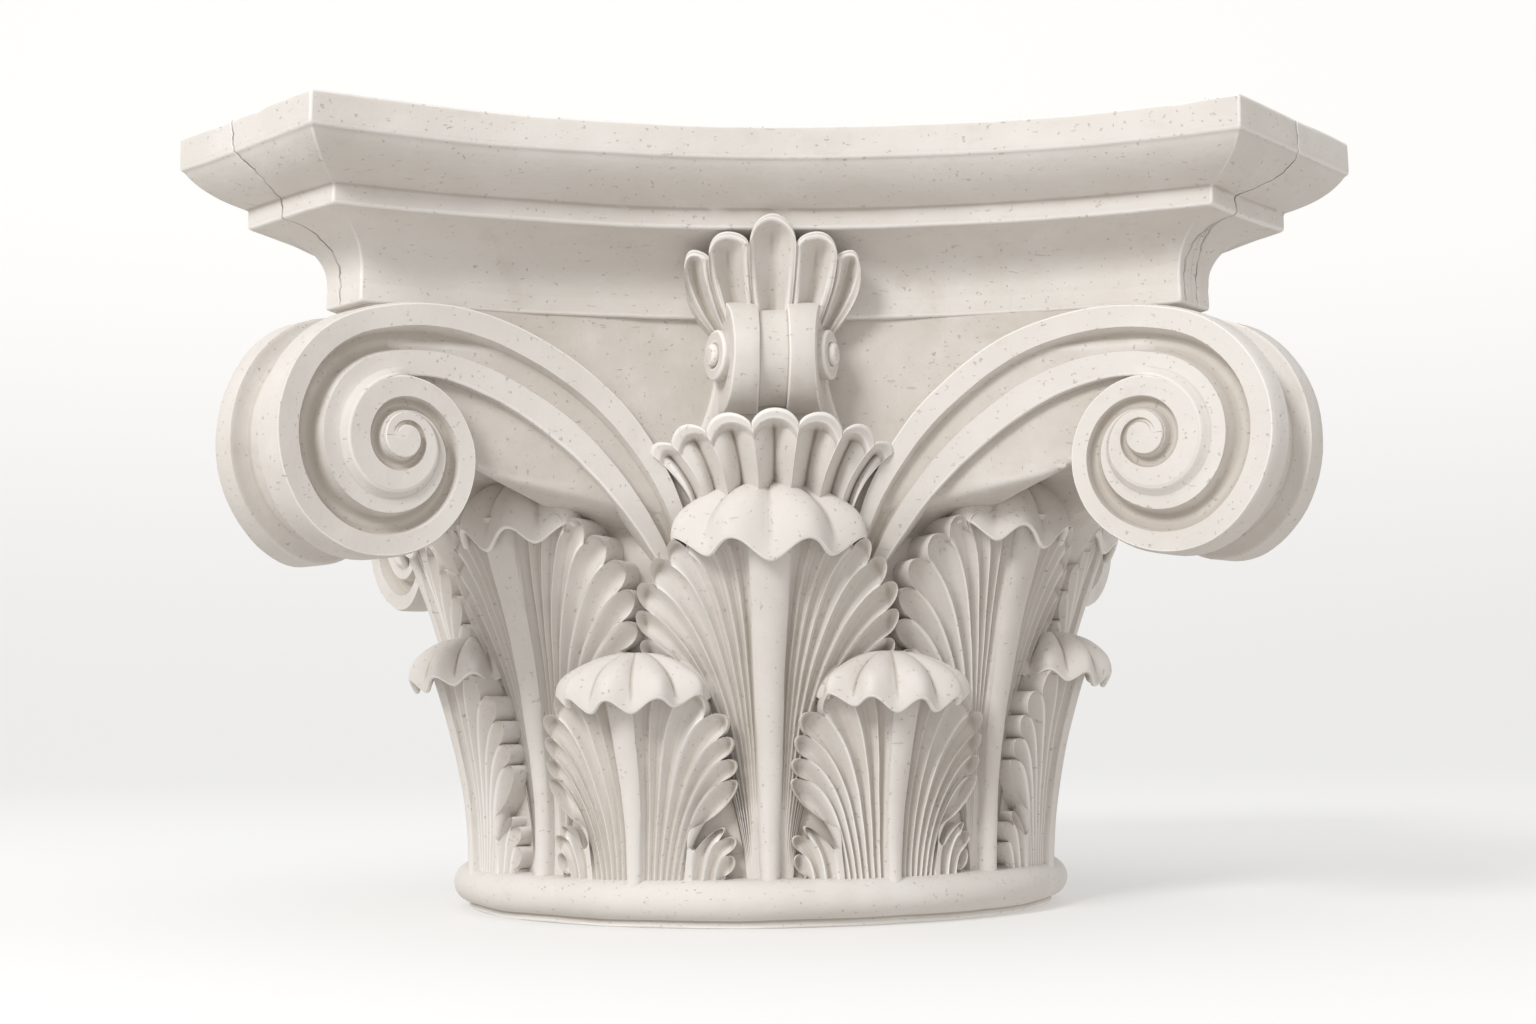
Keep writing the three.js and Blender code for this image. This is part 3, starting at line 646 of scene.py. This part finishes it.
# For each column of half a leaf: its lobe, its place across that lobe, and where it ends
def lobe_ends(tips, notches):
    count = len(tips)
    lobe = np.append(np.repeat(np.arange(count), LOBE_COLUMNS), count - 1)
    across = np.append(np.tile(np.linspace(-1, 1, LOBE_COLUMNS, endpoint=False), count), 1.0)
    middle = (notches[lobe] + notches[lobe + 1]) / 2
    half = (notches[lobe + 1] - notches[lobe]) / 2
    end = middle + half * mix(across, np.sin(math.pi * across / 2), LOBE_ROUND[0])[:, None]
    end += (tips[lobe] - middle) * (np.abs(np.cos(math.pi * across / 2)) ** LOBE_ROUND[1])[:, None]
    return lobe, across, end


# How deep a lobe is cut: a round ridge beside each neighbour, a thin rim at the end and a hollow between
def lobe_relief(across, width, left):
    inside = np.minimum(nearest(1 - np.abs(across), left / FLUTE["rim"]), 1) ** FLUTE["ridge"]
    scoop = FLUTE["depth"] * np.minimum(width, FLUTE["widest"]) * smooth(width, *FLUTE["fade"])
    return -scoop * (1 - np.cos(math.pi * inside)) / 2


# The fluted lobes of half a leaf: distance from the middle, height and relief
def leaf_lobes(leaf, p):
    tips, notches, main = leaf_notches(leaf)
    lobe, across, end = lobe_ends(tips, notches)
    place = lobe + (across + 1) / 2
    reed, sub_reed = leaf["reeds"]
    start = leaf["rib"][0] + reed * np.minimum(place, main) + sub_reed * np.maximum(place - main, 0)
    lean = mix(*LOBE_LEAN, smooth(end[:, 1], LEAF_FOOT, leaf["top"]))
    spread = end[:, 0] - start
    near, far = LOBE_CURVE["out"]
    a = bezier(start, start + near * spread, start + far * spread, end[:, 0], p)
    halfway = mix(LEAF_FOOT, end[:, 1], LOBE_CURVE["up"])
    below_end = end[:, 1] - LOBE_CURVE["lean"] * lean * spread
    z = bezier(LEAF_FOOT - LEAF_SUNK, halfway, below_end, end[:, 1], p)
    edges = np.arange(len(tips) + 1) * LOBE_COLUMNS
    width = np.hypot(np.diff(a[:, edges], axis=1), np.diff(z[:, edges], axis=1))[:, lobe]
    run = np.hypot(np.diff(a, axis=0), np.diff(z, axis=0))
    left = np.vstack([np.cumsum(run[::-1], axis=0)[::-1], np.zeros((1, len(lobe)))])
    return a, z, lobe_relief(across, width, left) * (lobe != main - 1)


# Half of a leaf's round rib: distance from the middle, height and relief
def leaf_rib(leaf, p):
    u = np.linspace(0, 1, RIB_COLUMNS, endpoint=False)
    z = mix(LEAF_FOOT - LEAF_SUNK, leaf["top"], p) + 0 * u
    return u * mix(*leaf["rib"], p), z, leaf["rib_rise"] * np.sqrt(1 - RIB_ROUND * u ** 2) + 0 * p


# How far a leaf's top bends towards the front or the back of the capital
def leaf_sway(leaf, angle):
    return math.radians(leaf["sway"]) * math.sin(2 * angle)


# Half a leaf: rib and fluted lobes, with scalloped sides cut back to the bell
def leaf_half(leaf, side, angle, lift):
    p = (1 - np.linspace(1, 0, leaf["rows"]) ** ROWS_CROWD)[:, None]
    a, z, relief = (np.hstack(pair) for pair in zip(leaf_rib(leaf, p), leaf_lobes(leaf, p)))
    base, flare, span, power = leaf["radius"]
    front = base + flare * (np.maximum(z - FLARE_FROM, 0) / span) ** power - leaf["droop"] * a ** 2 + relief
    behind = bell_radius(z[-1:]) - WALLS_SUNK
    front = np.vstack([front] + [mix(front[-1:], behind, k) for k in LOBE_WALLS])
    a, z = (np.vstack([v] + [v[-1:]] * len(LOBE_WALLS)) for v in (a, z))
    back = np.stack([mix(front[:, -1], LEAF_BACK, k) for k in (0.1, 1)], 1)
    front = np.hstack([front, back])
    a, z = (np.hstack([v, np.repeat(v[:, -1:], 2, 1)]) for v in (a, z))
    height = np.maximum(z - LEAF_FOOT, 0) / (leaf["top"] - LEAF_FOOT)
    swayed = angle - leaf_sway(leaf, angle) * height ** SWAY_POWER
    return polar(front, swayed + side * a / LEAF_REF, z + lift * height)


# The overhanging tip of a leaf: ridges fanning over a dome to a scalloped lip, flat below
def leaf_cap(leaf, angle, lift):
    cap = leaf["cap"]
    reach = cap["reach"] * (1 - leaf["draw_in"] * math.sin(angle) ** 2)
    half = cap["half"] * (1 - cap["narrow"] * math.sin(2 * angle) ** 2)
    around = np.linspace(-CAP["sweep"], CAP["sweep"], CAP["columns"])[None, :]
    width = math.pi / cap["ridges"]
    phase = around / width + (0.5 if cap["ridges"] % 2 else 0)
    v = 2 * (phase - np.floor(phase)) - 1
    over, rolled, below = CAP["rows"]
    back = np.linspace(1, CAP["back"], below + 1)[1:]
    t = np.concatenate([np.linspace(0, 1, over), np.ones(rolled), back])[:, None]
    lip = np.concatenate([np.zeros(over), np.linspace(0, 180, rolled), np.full(below, 180.0)])
    lip = np.radians(lip)[:, None]
    under = np.concatenate([np.zeros(over + rolled), np.linspace(0, 1, below + 1)[1:]])[:, None]
    bulge = mix(1 - np.abs(v) ** CAP["ridge"], (1 + np.cos(math.pi * v)) / 2, smooth(t, 0.6, 1))
    scallop, level = CAP["scallop"]
    out = np.sin(t * math.pi / 2) ** CAP["dome"] * (1 + scallop * smooth(t, 0.3, 0.8) * (bulge - level))
    sides = np.sin(around) ** 2
    droop = cap["drop"] * (1 - 0.5 * sides) * (1 - np.cos(math.pi * v)) / 2 - cap["sides_up"] * sides
    crease = CAP["crease"] * cap["rise"] * (1 - bulge)
    crease = crease * smooth(t, 0.05, 0.55) * (1 - 0.6 * smooth(t, 0.7, 1))
    dome = cap["rise"] * np.cos(t * math.pi / 2) * (1 - CAP["flat"] * under)
    height = dome - crease - droop * smooth(t, 0.45, 1) - CAP["lip"] * np.sin(lip)
    inwards = CAP["lip"] * (1 - np.cos(lip))
    outwards = cap["axis"] + (out * reach - inwards) * np.cos(around)
    sideways = (out * half - inwards) * np.sin(around)
    radius = np.hypot(outwards, sideways)
    swayed = angle - leaf_sway(leaf, angle)
    return polar(radius, swayed + np.arctan2(sideways, outwards), cap["level"] + height + lift)


# Where the eight leaves of a row stand, and how far each is raised towards the sides
def leaf_places(leaf):
    most, power = leaf["lift"]
    for i in range(8):
        angle = math.pi / 4 * (i + leaf["offset"])
        yield angle + math.radians(leaf["turn"]), most * abs(math.sin(angle)) ** power


def carve_leaves(carving, leaf):
    for angle, lift in leaf_places(leaf):
        for side in (1, -1):
            carving.add(leaf_half(leaf, side, angle, lift))


def carve_tips(carving):
    for leaf in (LOWER_LEAF, UPPER_LEAF):
        for angle, lift in leaf_places(leaf):
            lift *= leaf["cap"]["follow"]
            inside = polar(leaf["cap"]["axis"], angle, leaf["cap"]["level"] + lift)
            carving.add(leaf_cap(leaf, angle, lift), centre=inside)


# The columns of a lobed fan: each one's lobe, its place in lobes from the middle and across its lobe
def lobe_columns(fan):
    count, columns = fan["lobes"], fan["columns"]
    u = np.linspace(-1, 1, columns + 1)[:-1]
    v = np.append(np.tile(np.sin(math.pi * u / 2), count), 1.0)
    lobe = np.append(np.repeat(np.arange(count), columns), count - 1) - (count - 1) / 2
    return lobe, lobe + v / 2, v


# A fan's front, rolled over its lip and closed at the back and both ends
def closed_fan(front, x, z, fan, rise):
    turn = np.radians(np.linspace(0, 180, 9))[1:, None]
    fall = np.array([0.15, 0.4, 0.7, 1])[:, None]
    lip = fan["lip"]
    over = front[-1:] - lip * (1 - np.cos(turn))
    back = mix(over[-1:], fan["back"], fall)
    front = np.vstack([front, over, back])
    lift = np.vstack([lip * np.sin(turn), -fan["sink"] * fall])
    x = np.vstack([x, x[-1:] + lift * rise[0]])
    z = np.vstack([z, z[-1:] + lift * rise[1]])
    columns = [(mix(front[:, k], fan["back"], depth), x[:, k], z[:, k])
               for k, depth in ((0, 1), (0, 0.5), (0, 0.08), (-1, 0.08), (-1, 0.5), (-1, 1))]
    ends = [np.stack(parts, 1) for parts in zip(*columns)]
    front, x, z = (np.hstack([e[:, :3], v, e[:, 3:]]) for e, v in zip(ends, (front, x, z)))
    return np.stack([x, -np.sqrt(np.maximum(front ** 2 - x ** 2, 1)), z], -1)


# The calyx fan: round ridges and creases spreading to a thick wavy lip that curves back at the sides
def fan_grid(fan):
    lobe, q, v = lobe_columns(fan)
    share = (1 - np.linspace(1, 0, fan["rows"]) ** fan["rows_crowd"])[:, None]
    swing = np.sin(fan["top"][1] * q)
    crown = fan["crowns"][0] + fan["crowns"][1] * lobe ** 2
    notch = fan["notches"][0] + fan["notches"][1] * np.abs(q)
    top_z = mix(notch, crown, np.maximum(1 - v ** 2, 0) ** fan["crown_round"])
    x = fan["top"][0] * swing * mix(fan["foot"][0], 1, share ** fan["spreads"])
    z = mix(fan["foot"][1], top_z, share)
    front = mix(*fan["front"], np.sin(math.pi * share / 2) ** fan["swells"])
    front = front - fan["recede"] * swing ** 2 * smooth(share, *fan["recede_from"])
    valley = fan["depth"] * (1 - np.sin(math.pi * np.abs(v) / 2)) * (1 - fan["level"] * swing ** 2)
    front = front - (valley + fan["undercut"]) * (1 - smooth(share, *fan["lip_from"]))
    lean = fan["lean"] * swing
    return closed_fan(front, x, z, fan, (np.sin(lean), np.cos(lean)))


# The palmette: five spoon-shaped petals side by side, each with its own rim
def palmette_grid(fan):
    lobe, q, v = lobe_columns(fan)
    share = (np.linspace(0, 1, fan["rows"]) ** fan["rows_crowd"])[:, None]
    wide, crowd, low = fan["foot"]

    def spread(lobes):
        top = fan["top"][0] * np.sin(fan["top"][1] * lobes)
        return mix(wide * np.sin(crowd * lobes), top, np.sin(math.pi * share / 2))

    crown = fan["crowns"][0] + fan["crowns"][1] * np.abs(lobe) + fan["crowns"][2] * lobe ** 2
    notch = fan["notches"][0] + fan["notches"][1] * np.abs(q) + fan["notches"][2] * q ** 2
    top_z = mix(notch, crown, np.sqrt(np.maximum(1 - v ** 2, 0)))
    half = (spread(lobe + 0.5) - spread(lobe - 0.5)) / 2
    gap = nearest((1 - np.abs(v)) * half, (1 - share) * (top_z - low))
    front = mix(*fan["front"], share ** fan["swells"]) - fan["recede"] * lobe ** 2
    rim = np.minimum(fan["rim"], fan["rim_share"] * half)
    hollow = fan["depth"] * np.minimum(half / fan["full"], 1) * spoon(gap, rim, half)
    crease_depth, crease_width = fan["crease"]
    front = front - hollow - crease_depth * (1 - smooth(gap, 0, crease_width))
    return closed_fan(front, spread(q), mix(low, top_z, share), fan, (np.zeros(len(q)), np.ones(len(q))))


# The scroll: two splayed flanges on a hollow core
def carve_scroll(carving):
    angles = np.linspace(0, 2 * math.pi, ROUND_COLUMNS, endpoint=False)
    r, groove = SCROLL["radius"], SCROLL["groove"]
    fine, wide = SCROLL["arris"]
    depth = np.cos(angles)[None, :]
    across = np.concatenate([np.linspace(0, groove, 8), [groove, groove, groove + fine, groove + wide]])
    inner = np.broadcast_to(across[:, None], (len(across), ROUND_COLUMNS))
    inner_radius = SCROLL["core"] + SCROLL["dish"] * np.linspace(0, 1, 8) ** 2
    side = SCROLL["side"] - SCROLL["splay"] * r * depth
    rim = np.concatenate([mix(groove + wide, side - wide, k) for k in (0.3, 0.6, 1)] + [side - fine, side])
    rim_radius = [r - 2, r - wide, r - fine, r, r, r, r, r - fine, r - wide]
    face = np.array([0.8, 0.5, 0.2, 0.0])
    faces = np.concatenate([SCROLL["side"] - SCROLL["splay"] * r * k * depth - SCROLL["dish"] * (1 - k)
                            for k in face])
    radius = np.concatenate([inner_radius, rim_radius, face * r])[:, None]
    along = np.concatenate([inner, rim, faces])
    grid = np.stack([along, -SCROLL["y"] - radius * depth, SCROLL["z"] + radius * np.sin(angles)], -1)
    carving.add_round(grid, mirror=True, wrap=True, centre=(SCROLL["middle"], -SCROLL["y"], SCROLL["z"]))


# A boss with a round button on each side of the scroll
def carve_bosses(carving):
    angles = np.linspace(0, 2 * math.pi, ROUND_COLUMNS, endpoint=False)
    tilt = math.radians(BOSS["tilt"])
    axis = np.array([math.cos(tilt), -math.sin(tilt), 0])
    flat = np.array([math.sin(tilt), math.cos(tilt), 0])
    foot = np.array([BOSS["at"][0], -BOSS["at"][1], SCROLL["z"]])
    length, big, small, arris = BOSS["length"], BOSS["radius"], BOSS["button"], BOSS["arris"]
    ring_width, ring_depth = BOSS["ring"]
    outline = [(big, -BOSS["sunk"]), (big, length - arris), (big - arris, length),
               (small + ring_width, length), (small, length - ring_depth)]
    outline += [(small * share, length + up) for share, up in BOSS["dome"]]
    outline = resampled(outline, BOSS["step"])
    circle = np.cos(angles)[:, None] * flat + np.sin(angles)[:, None] * np.array([0, 0, 1])
    boss = foot + outline[:, :1, None] * circle[None] + outline[:, 1:, None] * axis
    carving.add_round(boss, mirror=True, wrap=True, centre=foot)


# The tapered strap behind the scroll, from the fan up to the neck
def carve_strap(carving):
    z = np.linspace(*STRAP["z"], 18)[:, None]
    half = mix(*STRAP["half"], smooth(z, *STRAP["taper"]))
    edge_u, edge_proud = np.array(STRAP["edge"]).T
    u = np.concatenate([edge_u, np.linspace(-0.9, 0.9, 15), -edge_u[::-1]])
    proud = np.concatenate([edge_proud, np.zeros(15), edge_proud[::-1]])
    carving.add_round(np.stack(np.broadcast_arrays(half * u, -(STRAP["y"] + proud), z), -1))


def carve_middles(carving):
    carving.add_round(fan_grid(FAN))
    carving.add_round(palmette_grid(PALMETTE))
    carve_scroll(carving)
    carve_bosses(carving)
    carve_strap(carving)


# The shader nodes of a material or of the sky
class Nodes:
    def __init__(self, owner, surface):
        owner.use_nodes = True
        self.tree = owner.node_tree
        self.surface = self.tree.nodes[surface]

    def new(self, kind, inputs=None, **settings):
        node = self.tree.nodes.new(kind)
        for key, value in settings.items():
            setattr(node, key, value)
        self.fill(node, inputs or {})
        return node

    # Outputs of other nodes are linked, and constant values are set on the sockets
    def fill(self, node, inputs):
        for key, value in inputs.items():
            if isinstance(value, bpy.types.NodeSocket):
                self.tree.links.new(value, node.inputs[key])
            else:
                node.inputs[key].default_value = value

    def attribute(self, name):
        return self.new("ShaderNodeAttribute", attribute_name=name).outputs["Fac"]

    def noise(self, place, scale, detail, rough):
        inputs = {"Vector": place, "Scale": scale, "Detail": detail, "Roughness": rough}
        return self.new("ShaderNodeTexNoise", inputs).outputs["Fac"]

    def band(self, value, low, high, to_low=0.0, to_high=1.0):
        inputs = {"Value": value, "From Min": low, "From Max": high, "To Min": to_low, "To Max": to_high}
        return self.new("ShaderNodeMapRange", inputs, interpolation_type="SMOOTHSTEP").outputs["Result"]

    def maths(self, operation, a, b=0.0):
        return self.new("ShaderNodeMath", {0: a, 1: b}, operation=operation).outputs[0]

    def blend(self, share, a, b):
        return self.new("ShaderNodeMix", {0: share, 6: a, 7: b}, data_type="RGBA").outputs[2]


# Pale mottled limestone: painted shade in the hollows, a painted highlight with some wear on proud edges,
# pits, specks, scratches and cracks
def stone_material():
    material = bpy.data.materials.new("stone")
    nodes = Nodes(material, "Principled BSDF")
    place = nodes.new("ShaderNodeTexCoord").outputs["Object"]
    wear = nodes.attribute("wear")
    broad, mottle, grain = (nodes.noise(place, *NOISE[name]) for name in ("broad", "mottle", "grain"))
    slant = nodes.new("ShaderNodeMapping", {"Vector": place, **SLANT}).outputs[0]
    crack = nodes.band(nodes.maths("ABSOLUTE", nodes.attribute("crack")), *BANDS["cracks"])
    marks = {name: nodes.band(nodes.noise(where, *NOISE[name]), *BANDS[name])
             for name, where in (("pits", place), ("specks", place), ("scratches", slant))}
    marks["cracks"] = nodes.maths("MULTIPLY", crack, nodes.attribute("crack_depth"))
    # Painted shade in the hollows, broken up by the mottle, and a painted highlight with some wear on proud
    # edges
    uneven = nodes.maths("MULTIPLY", nodes.maths("SUBTRACT", mottle, 0.5), PAINTED_SHADE_UNEVEN)
    dirt = nodes.maths("ADD", wear, uneven)
    layers = {"dark": broad, "pale": mottle, "stain": mottle, "dirt": dirt, "worn": wear}
    colour = STONE["light"]
    for name, value in layers.items():
        colour = nodes.blend(nodes.band(value, *BANDS[name]), colour, STONE[name])
    height = nodes.maths("MULTIPLY", grain, BUMP_GRAIN)
    for name, mask in marks.items():
        darkness, depth = MARKS[name]
        colour = nodes.blend(nodes.maths("MULTIPLY", mask, darkness), colour, STONE["mark"])
        height = nodes.maths("SUBTRACT", height, nodes.maths("MULTIPLY", mask, depth))
    height = nodes.maths("ADD", height, nodes.maths("MULTIPLY", mottle, BUMP_MOTTLE))
    bump = nodes.new("ShaderNodeBump", {"Height": height, **BUMP}).outputs["Normal"]
    rough = nodes.band(mottle, *BANDS["rough"])
    nodes.fill(nodes.surface, {"Base Color": colour, "Roughness": rough, "Specular IOR Level": SPECULAR,
                               "Normal": bump})
    return material


# A pale matt floor that glows a little, more where it stands up as the backdrop
def floor_material():
    material = bpy.data.materials.new("floor")
    nodes = Nodes(material, "Principled BSDF")
    normal = nodes.new("ShaderNodeNewGeometry").outputs["Normal"]
    level = nodes.new("ShaderNodeSeparateXYZ", {0: normal}).outputs["Z"]
    glow = nodes.band(level, 0, 1, *FLOOR["glow"])
    nodes.fill(nodes.surface, {"Base Color": FLOOR["colour"], "Roughness": FLOOR["rough"],
                               "Emission Color": FLOOR["glow_colour"], "Emission Strength": glow})
    return material


# A pale floor that curves up into the backdrop
def build_floor():
    bend = np.radians(np.linspace(0, 90, 16))
    start, radius, half = FLOOR["bend"], FLOOR["radius"], FLOOR["half"]
    y = np.concatenate([[FLOOR["front"], start], start + radius * np.sin(bend), [start + radius]])
    z = np.concatenate([[0, 0], radius * (1 - np.cos(bend)), [FLOOR["top"]]])
    points = [(x, b, c) for b, c in zip(y, z) for x in (-half, half)]
    faces = [(2 * i, 2 * i + 1, 2 * i + 3, 2 * i + 2) for i in range(len(y) - 1)]
    mesh = bpy.data.meshes.new("floor")
    mesh.from_pydata(points, [], faces)
    mesh.polygons.foreach_set("use_smooth", [True] * len(faces))
    mesh.materials.append(floor_material())
    floor = bpy.data.objects.new("floor", mesh)
    bpy.context.scene.collection.objects.link(floor)
    floor.visible_diffuse = False


def build_light(name, place, aim, size, power, colour):
    data = bpy.data.lights.new(name, "AREA")
    data.shape = "DISK"
    data.size = size
    data.energy = power
    data.color = colour
    light = bpy.data.objects.new(name, data)
    light.location = place
    light.rotation_euler = (Vector(aim) - Vector(place)).to_track_quat("-Z", "Y").to_euler()
    bpy.context.scene.collection.objects.link(light)


# A white sky, a little dimmer and warmer towards the ground
def build_sky():
    world = bpy.data.worlds.new("studio")
    nodes = Nodes(world, "Background")
    way = nodes.new("ShaderNodeTexCoord").outputs["Generated"]
    up = nodes.new("ShaderNodeSeparateXYZ", {0: way}).outputs["Z"]
    glow = nodes.new("ShaderNodeMapRange", {"Value": up, **SKY})
    limits = {"From Min": SKY["From Min"], "From Max": SKY["From Max"]}
    share = nodes.new("ShaderNodeMapRange", {"Value": up, **limits})
    tint = nodes.blend(share.outputs["Result"], SKY_LOW, SKY_HIGH)
    nodes.fill(nodes.surface, {"Strength": glow.outputs["Result"], "Color": tint})
    bpy.context.scene.world = world


def build_studio():
    bpy.context.scene.view_settings.view_transform = "Standard"
    build_sky()
    build_light("key", **KEY_LIGHT)
    build_floor()


def build_camera():
    yaw, pitch, roll = (math.radians(CAMERA[name]) for name in ("yaw", "pitch", "roll"))
    ahead = Vector((-math.sin(yaw) * math.cos(pitch), math.cos(yaw) * math.cos(pitch), math.sin(pitch)))
    level = Vector((math.cos(yaw), math.sin(yaw), 0))
    above = level.cross(ahead)
    right = level * math.cos(roll) + above * math.sin(roll)
    up = above * math.cos(roll) - level * math.sin(roll)
    data = bpy.data.cameras.new("camera")
    data.sensor_fit = "HORIZONTAL"
    data.sensor_width = CAMERA["sensor"]
    data.lens = CAMERA["lens"]
    camera = bpy.data.objects.new("camera", data)
    turn = Matrix((right, up, -ahead)).transposed().to_4x4()
    camera.matrix_world = Matrix.Translation(CAMERA["at"]) @ turn
    bpy.context.scene.collection.objects.link(camera)
    bpy.context.scene.camera = camera


def build_capital():
    stone = stone_material()
    jobs = {
        "bell": carve_bell,
        "abacus": carve_abacus,
        "volutes": carve_volutes,
        "lower_leaves": lambda carving: carve_leaves(carving, LOWER_LEAF),
        "upper_leaves": lambda carving: carve_leaves(carving, UPPER_LEAF),
        "leaf_tips": carve_tips,
        "middles": carve_middles,
    }
    for name, carve in jobs.items():
        carving = Carving(name)
        carve(carving)
        carving.finish(stone)


build_capital()
build_studio()
build_camera()
